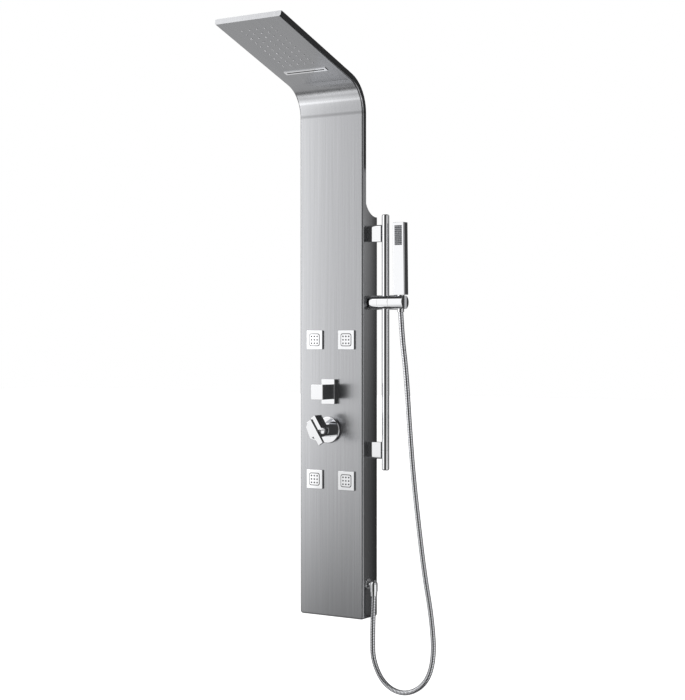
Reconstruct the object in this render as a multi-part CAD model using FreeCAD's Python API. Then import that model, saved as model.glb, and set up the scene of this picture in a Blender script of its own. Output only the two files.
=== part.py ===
import FreeCAD, Part
import math
import os

# A wall-hung rainfall shower column in brushed stainless steel.
# +X is the side with the hand shower, the front faces -Y, +Z is up and the wall is the plane Y = 0.
# Heights below are measured from the column's bottom edge. Everything is moved down at export, so
# that the origin is the centre of the four wall bolts, on the wall.

Vec = FreeCAD.Vector
X_AXIS = Vec(1, 0, 0)
Y_AXIS = Vec(0, 1, 0)
Z_AXIS = Vec(0, 0, 1)

# ---------------------------------------------------------------- driving dimensions, in millimetres
# Folded column and overhead arm
column_width = 200.0
column_depth = 68.0
head_thickness = 15.0
sheet = 1.5
fold_radius = 5.0
lower_corner = 8.0
bend_start = 1320.0
bend_radius = 84.0
arm_length = 330.0
arm_rise = 19.2
step_bottom = 1052.0
step_top = 1085.0
step_drop = 20.5
step_run = 16.0

# Wall fixing
bracket_gap = 6.0
bracket_sheet = 2.0
bracket_height = 40.0
bracket_low = 150.0
bolt_rows = 830.0
bolt_columns = 120.0
bolt_hole_radius = 3.25
bracket_web = 90.0
bracket_foot = 30.0
hanger_screw_radius = 2.5
hanger_screw_length = 6.0
hanger_screw_head = 2.5
supply_width = 90.0
supply_low = 370.0
supply_height = 170.0
cover_gap = 0.3

# Rain field and waterfall spout in the arm
rain_columns = 5
rain_rows = 10
rain_pitch_across = 22.8
rain_pitch_along = 20.5
rain_front_margin = 44.0
rain_nozzle_radius = 2.2
rain_nozzle_reach = 1.8
rain_nozzle_bore = 0.7
rain_flange = 1.0
rain_flange_rim = 1.3
chamber_width = 176.0
chamber_thickness = 10.0
chamber_wall = 1.5
chamber_margin = 15.0
spout_place = 64.0
spout_width = 119.0
spout_gap = 5.0
spout_rim = 5.0
spout_reach = 1.5
spout_neck_wall = 0.8
spout_lip = 1.5
spout_body = 30.0

# Body jets
jet_size = 50.0
jet_spacing = 100.0
jet_upper = 730.0
jet_lower = 361.0
jet_frame_thickness = 4.6
jet_frame_corner = 1.5
jet_frame_edge = 0.8
jet_window = 33.6
jet_window_corner = 6.0
jet_recess = 0.6
jet_face_size = 30.0
jet_face_thickness = 1.5
jet_face_corner = 5.0
jet_face_stand = 0.6
jet_neck_radius = 6.5
jet_bore = 3.0
jet_pivot_depth = 5.0
jet_socket_radius = 14.0
jet_ball_radius = 11.0
jet_ring_half = 6.0
jet_clear = 0.15
jet_sleeve_radius = 16.8
jet_sleeve_end = 18.0
jet_nozzle_pitch = 9.0
jet_nozzle_radius = 1.4
jet_nozzle_length = 1.6
jet_nozzle_stand = 0.7
jet_nut_corner = 21.0
jet_nut_thickness = 6.0

# Controls
control_x = -5.0
mixer_height = 493.0
diverter_height = 594.0
diverter_aside = 3.0
valve_width = 60.0
valve_height = 50.0
mixer_body_depth = 44.0
diverter_body_depth = 38.0
escutcheon_radius = 35.0
escutcheon_thickness = 8.0
escutcheon_edge = 2.5
hub_radius = 18.0
hub_clear = 0.3
pivot_stand = 44.0
lever_front = 75.0
lever_step = 5.0
lever_angle = -57.0
lever_width = 44.0
lever_back = 30.0
lever_fore = 10.3
lever_corner = 9.0
lever_ridge = 8.4
lever_face_back = 25.0
lever_face_low = 8.0
lever_face_shoulder = 19.5
lever_face_shoulder_low = 14.3
lever_face_fore_low = 19.4
lever_strip_back = 34.0
lever_strip_fore = 4.3
lever_bar_width = 14.4
lever_bar_reach = 39.5
lever_bar_thickness = 9.0
lever_gusset_reach = 25.0
lever_pocket_rim = 1.8
lever_pocket_depth = 7.0
lever_skirt = 6.0
lever_swing = 20.0
lever_swing_steps = 5
pin_radius = 2.5
neck_radius = 14.5
mixer_neck = 20.0
stem_radius = 5.0
stem_inset = 6.0
stem_stop = 7.0
cartridge_radius = 11.0
cartridge_length = 35.0
cartridge_stand = 17.0
cartridge_bore = 25.0
inlet_depth = 26.0
inlet_spacing = 35.0
inlet_radius = 10.5
inlet_bore = 6.0
inlet_length = 18.0
diverter_plate_width = 41.0
diverter_plate_height = 65.0
diverter_plate_thickness = 12.0
diverter_plate_edge = 0.8
knob_width = 37.0
knob_height = 39.4
knob_front = 64.0
knob_socket = 30.0
diverter_neck = 3.0

# Slide bar, slider and holder
bar_stand = 48.0
bar_setback = 34.0
bar_radius = 10.0
bar_wall = 1.5
bar_joint_low = 443.0
bar_joint_high = 1003.0
bar_end_stand = 53.0
bar_spigot = 28.0
bar_screw_radius = 3.0
bar_screw_reach = 17.0
bar_web = 10.0
arm_block_height = 44.0
arm_block_depth = 21.0
arm_block_reach = 39.0
arm_block_round = 6.0
arm_block_edge = 1.5
post_round = 5.0
joint_chamfer = 0.5
slider_height = 827.0
slider_radius = 19.0
slider_half = 15.8
knob_reach = 45.0
knob_chamfer = 6.0
holder_reach = 59.0
holder_chamfer = 0.8
pivot_radius = 6.0
pivot_length = 13.0
clamp_screw_radius = 4.0
clamp_screw_play = 0.3
holder_play = 0.4
socket_reach = 46.0
socket_top_radius = 10.0
socket_bottom_radius = 8.8
socket_slot = 16.0
cone_play = 0.3

# Hand shower
handset_width = 35.0
handset_depth = 20.0
handset_height = 187.0
handset_fore_top = 13.5
handset_fore_bottom = 9.7
handset_corner = 2.5
pad_width = 22.0
pad_height = 51.0
pad_below_top = 8.0
pad_depth = 1.5
pad_columns = 3
pad_rows = 10
pad_nozzle_radius = 0.95
pad_nozzle_stand = 0.9
pad_nozzle_length = 1.6
pad_sink = 0.2
handset_wall = 2.5
handset_gap = 0.3
cone_tail = 6.0
cone_spigot = 12.0
waterway_radius = 3.0

# Outlet elbow and hose
elbow_stand = 18.0
elbow_setback = 24.0
elbow_height = 92.0
elbow_radius = 10.5
elbow_pipe_radius = 8.0
elbow_flange_radius = 14.0
elbow_flange_thickness = 3.0
elbow_drop = 18.0
elbow_inset = 9.0
elbow_spigot_radius = 6.5
elbow_spigot = 6.0
elbow_nut_thickness = 5.0
hose_nut_radius = 9.2
hose_nut_length = 13.0
hose_nut_chamfer = 1.2
hose_radius = 6.75
hose_seat_depth = 3.6
hose_seat_slack = 0.5
hose_seat_radius = 7.3

# Fits
slip = 0.05
press = 0.03
sheet_hole_play = 0.25

# Inside pipes
pipe_setback = 32.0
pipe_radius = 6.0
feed_pipe_radius = 4.5
rain_pipe_inset = 10.0
rain_pipe_rise = 11.0
handset_pipe_inset = 25.0
handset_pipe_drop = 14.0

# ---------------------------------------------------------------- derived places
half_width = column_width / 2
inner_half = half_width - sheet
front_y = -column_depth
inner_front = front_y + sheet
mount_height = bracket_low + bolt_rows / 2
rise = math.radians(arm_rise)
bend_turn = math.pi / 2 - rise
bend_centre = (front_y - bend_radius, bend_start)
pipe_y = front_y + pipe_setback
pivot_y = front_y - pivot_stand
jet_places = [(sx * jet_spacing / 2, z) for z in (jet_upper, jet_lower) for sx in (-1, 1)]
hanger_places = [(sx * bracket_web / 3, bracket_low + dz) for dz in (0, bolt_rows) for sx in (-1, 1)]
rain_front = arm_length - rain_front_margin
rain_back = rain_front - (rain_rows - 1) * rain_pitch_along
chamber_back = rain_back - chamber_margin
feed_depth = head_thickness / 2
rain_pipe_x = chamber_width / 2 - rain_pipe_inset
waterfall_pipe_x = control_x - 7
handset_pipe_x = half_width - handset_pipe_inset
diverter_x = control_x + diverter_aside
valve_left = control_x - valve_width / 2
valve_right = control_x + valve_width / 2
diverter_top = diverter_height + valve_height / 2
inlet_y = inner_front + inlet_depth
mixer_neck_end = front_y - mixer_neck
diverter_neck_end = front_y - diverter_plate_thickness - diverter_neck
bar_x = half_width + bar_stand
bar_y = front_y + bar_setback
bar_high_arm = bar_joint_high + 4.0
bar_low_arm = bar_joint_low - 1.0
slider_left = bar_x - slider_half
slider_joint = bar_x + slider_half
knob_left = bar_x - knob_reach
holder_right = bar_x + holder_reach
socket_x = bar_x + socket_reach
elbow_x = half_width + elbow_stand
elbow_y = front_y + elbow_setback
elbow_inner_end = half_width - elbow_inset
holder_low = slider_height - slider_radius
holder_top = slider_height + slider_radius
handset_low = holder_top + handset_gap
handset_top = handset_low + handset_height
handset_front_top = bar_y - handset_fore_top
handset_front_bottom = bar_y - handset_fore_bottom
handset_lean = math.atan2(handset_fore_top - handset_fore_bottom, handset_height)
pad_middle = handset_top - pad_below_top - pad_height / 2
pad_front = handset_front_top + (handset_top - pad_middle) * math.tan(handset_lean)
hose_nut_top = elbow_height - elbow_drop
hose_nut_bottom = hose_nut_top - hose_nut_length

os.makedirs("parts", exist_ok=True)


# ---------------------------------------------------------------- small makers
def box(x0, x1, y0, y1, z0, z1):
    return Part.makeBox(x1 - x0, y1 - y0, z1 - z0, Vec(x0, y0, z0))


def rod(radius, start, direction, length):
    return Part.makeCylinder(radius, length, Vec(*start), direction)


def tube(outer, inner, start, direction, length):
    return rod(outer, start, direction, length).cut(rod(inner, start, direction, length))


def joined(shapes):
    whole = shapes[0]
    for other in shapes[1:]:
        whole = whole.fuse(other)
    return whole.removeSplitter()


def pipe_run(points, radius):
    """A pipe along straight stretches, with a round knuckle at each corner."""
    pieces = []
    for here, there in zip(points, points[1:]):
        way = Vec(*there) - Vec(*here)
        pieces.append(Part.makeCylinder(radius, way.Length, Vec(*here), way))
    for corner in points[1:-1]:
        pieces.append(Part.makeSphere(radius, Vec(*corner)))
    return joined(pieces)


def rounded_plate(centre_x, centre_z, width, height, radius, y_front, y_back):
    """A plate parallel to the wall with rounded corners, from y_front back to y_back."""
    plate = box(
        centre_x - width / 2,
        centre_x + width / 2,
        y_front,
        y_back,
        centre_z - height / 2,
        centre_z + height / 2,
    )
    corners = [e for e in plate.Edges if abs(e.tangentAt(e.FirstParameter).y) > 0.99]
    return plate.makeFillet(radius, corners)


def front_edges(shape, y):
    """The edges that lie in the plane at y."""
    return [e for e in shape.Edges if max(abs(e.BoundBox.YMin - y), abs(e.BoundBox.YMax - y)) < 0.01]


def end_edge(shape, axis, place):
    """The edges that lie in the plane square to X or Z at a place."""
    found = []
    for edge in shape.Edges:
        bounds = edge.BoundBox
        ends = (bounds.XMin, bounds.XMax) if axis == "x" else (bounds.ZMin, bounds.ZMax)
        if all(abs(end - place) < 0.01 for end in ends):
            found.append(edge)
    return found


def export(name, shape):
    shape.translate(Vec(0, 0, -mount_height))
    shape.exportStep("parts/" + name + ".step")


# ---------------------------------------------------------------- side view of the column and arm
def arm_point(along, depth):
    """(y, z) on the arm: along its underside from the bend's end, and depth above the underside."""
    end_y = bend_centre[0] + bend_radius * math.cos(bend_turn)
    end_z = bend_centre[1] + bend_radius * math.sin(bend_turn)
    y = end_y - along * math.cos(rise) + depth * math.sin(rise)
    z = end_z + along * math.sin(rise) + depth * math.cos(rise)
    return y, z


def bend_arc(depth, upward=True):
    """The bend's arc at a depth behind the front surface."""
    radius = bend_radius + depth
    angles = (0, bend_turn / 2, bend_turn)
    points = [
        Vec(0, bend_centre[0] + radius * math.cos(a), bend_centre[1] + radius * math.sin(a))
        for a in angles
    ]
    if not upward:
        points.reverse()
    return Part.Arc(*points).toShape()


def circle_through(a, b, c):
    """Centre and radius of the circle through three points in the side view."""
    arc = Part.Arc(Vec(0, *a), Vec(0, *b), Vec(0, *c)).toShape()
    centre = arc.Curve.Center
    return (centre.y, centre.z), arc.Curve.Radius


step_start = (front_y + head_thickness, step_top)
step_middle = (front_y + head_thickness + step_run, step_top - step_drop)
step_end = (0.0, step_bottom)
step_centre, step_radius = circle_through(step_start, step_middle, step_end)


def step_point(y, inset):
    """(y, z) on the step's curve, moved inset into the column."""
    radius = step_radius + inset
    return y, step_centre[1] - math.sqrt(radius**2 - (y - step_centre[0]) ** 2)


def step_arc(start_y, end_y, inset):
    middle_y = (start_y + end_y) / 2
    points = [Vec(0, *step_point(y, inset)) for y in (start_y, middle_y, end_y)]
    return Part.Arc(*points).toShape()


def line(a, b):
    return Part.LineSegment(Vec(0, *a), Vec(0, *b)).toShape()


def side_solid(edges, half):
    """A side view closed into a solid from -half to +half."""
    face = Part.Face(Part.Wire(edges))
    face.translate(Vec(-half, 0, 0))
    return face.extrude(Vec(2 * half, 0, 0))


def on_front(point, depth):
    """Whether a point lies on the front surface, depth behind it."""
    if point.z < bend_start:
        return abs(point.y - front_y - depth) < 0.01
    out_y = point.y - bend_centre[0]
    out_z = point.z - bend_centre[1]
    if math.atan2(out_z, out_y) < bend_turn:
        return abs(math.hypot(out_y, out_z) - bend_radius - depth) < 0.01
    end_y, end_z = arm_point(0, 0)
    height = (point.y - end_y) * math.sin(rise) + (point.z - end_z) * math.cos(rise)
    return abs(height - depth) < 0.01


def fold_edges(solid, depth, half):
    """The long edges where the front surface meets the two sides."""
    found = []
    for edge in solid.Edges:
        middle = edge.valueAt((edge.FirstParameter + edge.LastParameter) / 2)
        ends = [v.Point for v in edge.Vertexes] + [middle]
        if all(abs(abs(p.x) - half) < 0.01 and on_front(p, depth) for p in ends):
            found.append(edge)
    return found


def corner_edges(solid, half, height):
    """The two edges along Y where the column's sides meet its bottom."""
    found = []
    for edge in solid.Edges:
        centre = edge.BoundBox.Center
        if abs(abs(centre.x) - half) < 0.01 and abs(centre.z - height) < 0.01:
            found.append(edge)
    return found


def front_shell():
    top = head_thickness
    outer = side_solid(
        [
            line((front_y, 0), (front_y, bend_start)),
            bend_arc(0),
            line(arm_point(0, 0), arm_point(arm_length, 0)),
            line(arm_point(arm_length, 0), arm_point(arm_length, top)),
            line(arm_point(arm_length, top), arm_point(0, top)),
            bend_arc(top, upward=False),
            line((front_y + top, bend_start), step_start),
            step_arc(step_start[0], 0, 0),
            line(step_end, (0, 0)),
            line((0, 0), (front_y, 0)),
        ],
        half_width,
    )
    outer = outer.makeFillet(lower_corner, corner_edges(outer, half_width, 0))
    outer = outer.makeFillet(fold_radius, fold_edges(outer, 0, half_width))
    beyond = top + 5
    tip = arm_length - sheet
    behind = 10.0
    cavity = side_solid(
        [
            line((inner_front, sheet), (inner_front, bend_start)),
            bend_arc(sheet),
            line(arm_point(0, sheet), arm_point(tip, sheet)),
            line(arm_point(tip, sheet), arm_point(tip, beyond)),
            line(arm_point(tip, beyond), arm_point(0, beyond)),
            bend_arc(beyond, upward=False),
            line((front_y + beyond, bend_start), (behind, bend_start)),
            line((behind, bend_start), (behind, sheet)),
            line((behind, sheet), (inner_front, sheet)),
        ],
        inner_half,
    )
    inner_corner = lower_corner - sheet
    cavity = cavity.makeFillet(inner_corner, corner_edges(cavity, inner_half, sheet))
    cavity = cavity.makeFillet(fold_radius - sheet, fold_edges(cavity, sheet, inner_half))
    shell = outer.cut(cavity)
    through = sheet * 4
    holes = [
        rod(jet_sleeve_radius + sheet_hole_play, (x, front_y - sheet, z), Y_AXIS, through)
        for x, z in jet_places
    ]
    for x, height in ((control_x, mixer_height), (diverter_x, diverter_height)):
        start = (x, front_y - sheet, height)
        holes.append(rod(neck_radius + sheet_hole_play, start, Y_AXIS, through))
    for place in rain_places():
        holes.append(arm_rod(rain_nozzle_radius + sheet_hole_play / 2, place, -sheet, through))
    holes.append(spout_box(spout_width + 2, spout_gap + 2, -sheet, through))
    for height in (bar_low_arm, bar_high_arm):
        start = (half_width + sheet, bar_y, height)
        holes.append(rod(bar_screw_radius + sheet_hole_play, start, -X_AXIS, through))
    start = (half_width + sheet, elbow_y, elbow_height)
    holes.append(rod(elbow_pipe_radius + sheet_hole_play, start, -X_AXIS, through))
    return shell.cut(Part.makeCompound(holes))


def rear_cover():
    """The sheet that closes the arm's top, the bend's back, the slim upper column and the step."""
    top = head_thickness
    under = top - sheet
    tip = arm_length - sheet
    step_y = front_y + under
    return side_solid(
        [
            line(arm_point(tip, under), arm_point(tip, top)),
            line(arm_point(tip, top), arm_point(0, top)),
            bend_arc(top, upward=False),
            line((front_y + top, bend_start), step_start),
            step_arc(step_start[0], 0, 0),
            line(step_end, step_point(0, sheet)),
            step_arc(0, step_y, sheet),
            line(step_point(step_y, sheet), (step_y, bend_start)),
            bend_arc(under),
            line(arm_point(0, under), arm_point(tip, under)),
        ],
        inner_half,
    )


def back_plate():
    plate_top = step_point(-bracket_gap - sheet, sheet)[1] - cover_gap
    plate = box(-inner_half, inner_half, -bracket_gap - sheet, -bracket_gap, sheet, plate_top)
    plate = plate.makeFillet(lower_corner - sheet, corner_edges(plate, inner_half, sheet))
    opening = box(
        -supply_width / 2,
        supply_width / 2,
        -bracket_gap - 2 * sheet,
        0,
        supply_low,
        supply_low + supply_height,
    )
    screw_holes = [
        rod(hanger_screw_radius + slip, (x, -bracket_gap - 2 * sheet, z), Y_AXIS, 3 * sheet)
        for x, z in hanger_places
    ]
    return plate.cut(Part.makeCompound([opening] + screw_holes))


# ---------------------------------------------------------------- wall hangers
def wall_hanger(height):
    """A pressed hat strip: two feet on the wall, and a raised web that carries the back plate."""
    low = height - bracket_height / 2
    high = height + bracket_height / 2
    web = bracket_web / 2
    foot = web + bracket_foot
    strip = box(-web, web, -bracket_gap, bracket_sheet - bracket_gap, low, high)
    for side in (-1, 1):
        inner, outer = sorted((side * web, side * foot))
        strip = strip.fuse(box(inner, outer, -bracket_sheet, 0, low, high))
        leg_in, leg_out = sorted((side * (web - bracket_sheet), side * web))
        strip = strip.fuse(box(leg_in, leg_out, -bracket_gap, 0, low, high))
        hole = (side * bolt_columns / 2, -bracket_gap, height)
        strip = strip.cut(rod(bolt_hole_radius, hole, Y_AXIS, 2 * bracket_gap))
        screw = (side * bracket_web / 3, -2 * bracket_gap, height)
        strip = strip.cut(rod(hanger_screw_radius + slip, screw, Y_AXIS, 2 * bracket_gap))
    return strip.removeSplitter()


def hanger_screws():
    screws = []
    for x, z in hanger_places:
        start = (x, -bracket_gap - sheet, z)
        head = rod(hanger_screw_radius * 1.8, start, -Y_AXIS, hanger_screw_head)
        shank = rod(hanger_screw_radius, start, Y_AXIS, hanger_screw_length)
        screws.append(head.fuse(shank))
    return Part.makeCompound(screws)


# ---------------------------------------------------------------- rain field and waterfall
def rain_places():
    """(x, distance along the arm) of each rain nozzle."""
    places = []
    for row in range(rain_rows):
        for column in range(rain_columns):
            x = (column - (rain_columns - 1) / 2) * rain_pitch_across
            places.append((x, rain_front - row * rain_pitch_along))
    return places


ARM_NORMAL = Vec(0, math.sin(rise), math.cos(rise))
ARM_WAY = Vec(0, -math.cos(rise), math.sin(rise))


def arm_rod(radius, place, depth, length):
    """A rod square to the arm's underside, starting at a depth above it."""
    x, along = place
    return rod(radius, (x, *arm_point(along, depth)), ARM_NORMAL, length)


def arm_box(x0, x1, along0, along1, depth0, depth1):
    """A box lined up with the arm."""
    block = Part.makeBox(x1 - x0, along1 - along0, depth1 - depth0, Vec(x0, -along1, depth0))
    block.rotate(Vec(0, 0, 0), X_AXIS, -arm_rise)
    block.translate(Vec(0, *arm_point(0, 0)))
    return block


def spout_box(width, gap, depth, thickness):
    low = spout_place - gap / 2
    return arm_box(-width / 2, width / 2, low, low + gap, depth, depth + thickness)


def rain_nozzles():
    nozzles = []
    reach = rain_nozzle_reach + sheet
    for place in rain_places():
        stem = arm_rod(rain_nozzle_radius, place, -rain_nozzle_reach, reach)
        flange = arm_rod(rain_nozzle_radius + rain_flange_rim, place, sheet, rain_flange)
        bore = arm_rod(rain_nozzle_bore, place, -rain_nozzle_reach, reach + rain_flange)
        nozzles.append(stem.fuse(flange).cut(bore))
    return Part.makeCompound(nozzles)


def rain_chamber():
    """The flat water box that lies on the nozzles' flanges inside the arm."""
    front = rain_front + chamber_margin
    back = chamber_back
    low = sheet + rain_flange
    half = chamber_width / 2
    high = low + chamber_thickness
    wall = chamber_wall
    chamber = arm_box(-half, half, back, front, low, high)
    inside = arm_box(
        wall - half, half - wall, back + wall, front - wall, low + wall, high - wall
    )
    bores = [arm_rod(rain_nozzle_radius / 2, p, low, wall + 1) for p in rain_places()]
    start = (rain_pipe_x, *arm_point(back - 1, feed_depth))
    inlet = rod(feed_pipe_radius - 1, start, ARM_WAY, wall + 2)
    return chamber.cut(inside).cut(Part.makeCompound(bores + [inlet]))


def waterfall_spout():
    rim = spout_box(spout_width + 2 * spout_rim, spout_gap + 2 * spout_rim, -spout_reach, spout_reach)
    wall = 2 * spout_neck_wall
    neck = spout_box(spout_width + wall, spout_gap + wall, -spout_reach, sheet + spout_reach)
    body_width = spout_width + 4 * spout_rim
    body = spout_box(body_width, spout_body, sheet, head_thickness - 3 * sheet)
    mouth_width = spout_width - 2 * spout_lip
    mouth = spout_box(mouth_width, spout_gap - 1, -spout_reach - 1, head_thickness - 2 * sheet)
    return joined([rim, neck, body]).cut(mouth)


# ---------------------------------------------------------------- water pipes inside
def head_feed(x, start_z, along):
    """A pipe up the slim column, round the bend and along the arm."""
    y = front_y + feed_depth
    riser = rod(feed_pipe_radius, (x, y, start_z), Z_AXIS, bend_start - start_z)
    section = Part.Face(Part.Wire(Part.makeCircle(feed_pipe_radius, Vec(x, y, bend_start), Z_AXIS)))
    elbow = section.revolve(Vec(x, *bend_centre), X_AXIS, math.degrees(bend_turn))
    reach = rod(feed_pipe_radius, (x, *arm_point(0, feed_depth)), ARM_WAY, along)
    return joined([riser, elbow, reach])


def rain_pipe():
    y = front_y + feed_depth
    corner_z = diverter_height + rain_pipe_rise
    side = pipe_run([(valve_right, y, corner_z), (rain_pipe_x, y, corner_z)], feed_pipe_radius)
    knuckle = Part.makeSphere(feed_pipe_radius, Vec(rain_pipe_x, y, corner_z))
    return joined([side, knuckle, head_feed(rain_pipe_x, corner_z, chamber_back)])


def waterfall_pipe():
    return head_feed(waterfall_pipe_x, diverter_top, spout_place - spout_body / 2)


def jet_header(height, feed):
    """A cross pipe behind one pair of jets, with a flange on each jet's tail and a feed pipe."""
    half = jet_spacing / 2
    tail = front_y + jet_sleeve_end
    pieces = [pipe_run([(-half, pipe_y, height), (half, pipe_y, height)], pipe_radius)]
    for side in (-1, 1):
        stub = (side * half, tail, height)
        pieces.append(rod(jet_sleeve_radius - 1, stub, Y_AXIS, 3))
        pieces.append(rod(pipe_radius, stub, Y_AXIS, pipe_y - tail))
        pieces.append(Part.makeSphere(pipe_radius, Vec(side * half, pipe_y, height)))
    pieces.append(pipe_run(feed, pipe_radius))
    return joined(pieces)


def handset_pipe():
    y = elbow_y
    start_z = diverter_height - handset_pipe_drop
    return pipe_run(
        [
            (valve_right, y, start_z),
            (handset_pipe_x, y, start_z),
            (handset_pipe_x, y, elbow_height),
            (elbow_inner_end, y, elbow_height),
        ],
        feed_pipe_radius,
    )


def mixer_pipe():
    start = mixer_height + valve_height / 2
    length = diverter_height - valve_height / 2 - start
    return rod(pipe_radius, (control_x, elbow_y, start), Z_AXIS, length)


# ---------------------------------------------------------------- body jets
def jet_shape(x, z):
    """The four pieces of one jet: fixed square frame with socket, ring, ball with face, nozzles."""
    pivot = Vec(x, front_y + jet_pivot_depth, z)
    frame_y = front_y - jet_frame_thickness
    floor_y = front_y - jet_recess
    frame = rounded_plate(x, z, jet_size, jet_size, jet_frame_corner, frame_y, front_y)
    frame = frame.makeFillet(jet_frame_edge, front_edges(frame, frame_y))
    window = rounded_plate(
        x, z, jet_window, jet_window, jet_window_corner, frame_y - 1, floor_y
    )
    sleeve = rod(jet_sleeve_radius, (x, floor_y, z), Y_AXIS, jet_sleeve_end + jet_recess)
    socket = Part.makeSphere(jet_socket_radius + jet_clear, pivot)
    tail_bore = rod(jet_socket_radius - 2, pivot, Y_AXIS, jet_sleeve_end)
    frame = frame.cut(window).fuse(sleeve).removeSplitter().cut(socket).cut(tail_bore)

    start = (x, pivot.y - jet_ring_half, z)
    band = rod(jet_socket_radius + 1, start, Y_AXIS, 2 * jet_ring_half)
    ring = Part.makeSphere(jet_socket_radius, pivot).common(band)
    ring = ring.cut(Part.makeSphere(jet_ball_radius + jet_clear, pivot))

    face_y = frame_y - jet_face_stand
    face_back = face_y + jet_face_thickness
    plate = rounded_plate(
        x, z, jet_face_size, jet_face_size, jet_face_corner, face_y, face_back
    )
    neck_start = face_y + jet_face_thickness / 4
    neck = rod(jet_neck_radius, (x, neck_start, z), Y_AXIS, pivot.y - neck_start)
    ahead = rod(jet_ball_radius, (x, face_y - jet_ball_radius, z), Y_AXIS, jet_ball_radius)
    ball = Part.makeSphere(jet_ball_radius, pivot).cut(ahead)
    bore = rod(jet_bore, (x, face_back + sheet, z), Y_AXIS, 3 * jet_ball_radius)
    face = joined([plate, neck, ball]).cut(bore)

    nozzles = []
    for row in (-1, 0, 1):
        for column in (-1, 0, 1):
            nozzle_x = x + column * jet_nozzle_pitch
            nozzle_z = z + row * jet_nozzle_pitch
            place = (nozzle_x, face_y - jet_nozzle_stand, nozzle_z)
            nozzles.append(rod(jet_nozzle_radius, place, Y_AXIS, jet_nozzle_length))
            face = face.cut(rod(jet_nozzle_radius + press, place, Y_AXIS, jet_nozzle_length))
    return frame, ring, face, Part.makeCompound(nozzles)


def jet_nuts():
    nuts = []
    for x, z in jet_places:
        start = (x, inner_front, z)
        bore = jet_sleeve_radius + slip
        nuts.append(hex_nut(start, Y_AXIS, jet_nut_corner, bore, jet_nut_thickness))
    return Part.makeCompound(nuts)


def hex_nut(start, direction, corner_radius, bore, height):
    """A hexagon nut with a plain bore, standing on its start point."""
    angles = [math.radians(60 * k) for k in range(7)]
    corners = [Vec(corner_radius * math.cos(a), corner_radius * math.sin(a), 0) for a in angles]
    prism = Part.Face(Part.makePolygon(corners)).extrude(Vec(0, 0, height))
    prism = prism.cut(rod(bore, (0, 0, 0), Z_AXIS, height))
    prism.Placement = FreeCAD.Placement(Vec(*start), FreeCAD.Rotation(Z_AXIS, direction))
    return prism


# ---------------------------------------------------------------- mixer
def mixer_body():
    low = mixer_height - valve_height / 2
    high = mixer_height + valve_height / 2
    block = box(valve_left, valve_right, inner_front, inner_front + mixer_body_depth, low, high)
    start = (control_x, inner_front, mixer_height)
    neck = rod(neck_radius, start, -Y_AXIS, inner_front - mixer_neck_end)
    inlets = []
    bores = []
    for side in (-1, 1):
        inlet_x = control_x + side * inlet_spacing / 2
        inlets.append(rod(inlet_radius, (inlet_x, inlet_y, low), -Z_AXIS, inlet_length))
        bore_start = (inlet_x, inlet_y, low - inlet_length)
        bores.append(rod(inlet_bore, bore_start, Z_AXIS, inlet_length + valve_height / 4))
    seat_start = (control_x, mixer_neck_end - 1, mixer_height)
    seat_end = front_y - cartridge_stand + cartridge_length + mixer_neck - cartridge_stand
    seat = rod(cartridge_radius + slip, seat_start, Y_AXIS, seat_end - seat_start[1])
    return joined([block, neck] + inlets).cut(Part.makeCompound([seat] + bores))


def mixer_cartridge():
    start_y = front_y - cartridge_stand
    body = rod(cartridge_radius, (control_x, start_y, mixer_height), Y_AXIS, cartridge_length)
    bore_start = (control_x, start_y - 1, mixer_height)
    return body.cut(rod(stem_radius + slip, bore_start, Y_AXIS, cartridge_bore + 1))


def mixer_escutcheon():
    start = (control_x, front_y, mixer_height)
    disc = rod(escutcheon_radius, start, -Y_AXIS, escutcheon_thickness)
    disc = disc.makeFillet(escutcheon_edge, front_edges(disc, front_y - escutcheon_thickness))
    return disc.cut(rod(neck_radius + slip, start, -Y_AXIS, escutcheon_thickness))


def mixer_hub():
    """The turning cap under the lever: a cylinder with a domed end round the lever's pin."""
    back_y = front_y - escutcheon_thickness - hub_clear
    cap = rod(hub_radius, (control_x, back_y, mixer_height), -Y_AXIS, back_y - pivot_y)
    cap = cap.fuse(Part.makeSphere(hub_radius, Vec(control_x, pivot_y, mixer_height)))
    cap = cap.removeSplitter()
    start = (control_x, back_y, mixer_height)
    room = back_y - mixer_neck_end + 4 * hub_clear
    bore = rod(neck_radius + hub_clear, start, -Y_AXIS, room)
    stem_bore = rod(stem_radius + press, start, -Y_AXIS, back_y - pivot_y - stem_stop + 1)
    return cap.cut(bore).cut(stem_bore).cut(mixer_pin(press))


def mixer_stem():
    start_y = front_y + stem_inset
    length = start_y - pivot_y - stem_stop
    return rod(stem_radius, (control_x, start_y, mixer_height), -Y_AXIS, length)


LEVER_ALONG = Vec(math.cos(math.radians(lever_angle)), 0, math.sin(math.radians(lever_angle)))
LEVER_ACROSS = Vec(-LEVER_ALONG.z, 0, LEVER_ALONG.x)


def mixer_pin(play=0.0):
    """The cross pin that the lever lifts on."""
    half = lever_width / 2 - 0.5
    start = Vec(control_x, pivot_y, mixer_height) - LEVER_ACROSS * half
    return Part.makeCylinder(pin_radius + play, 2 * half, start, LEVER_ACROSS)


def lever_corners(outline, stand):
    """Outline points, given as (along, across), at a distance off the column."""
    centre = Vec(control_x, front_y - stand, mixer_height)
    return [centre + LEVER_ALONG * a + LEVER_ACROSS * c for a, c in outline]


def lever_prism(outline, stand_back, stand_front):
    """A prism on the lever between two distances off the column."""
    corners = lever_corners(outline, stand_back)
    face = Part.Face(Part.makePolygon(corners + [corners[0]]))
    return face.extrude(Vec(0, stand_back - stand_front, 0))


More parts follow.
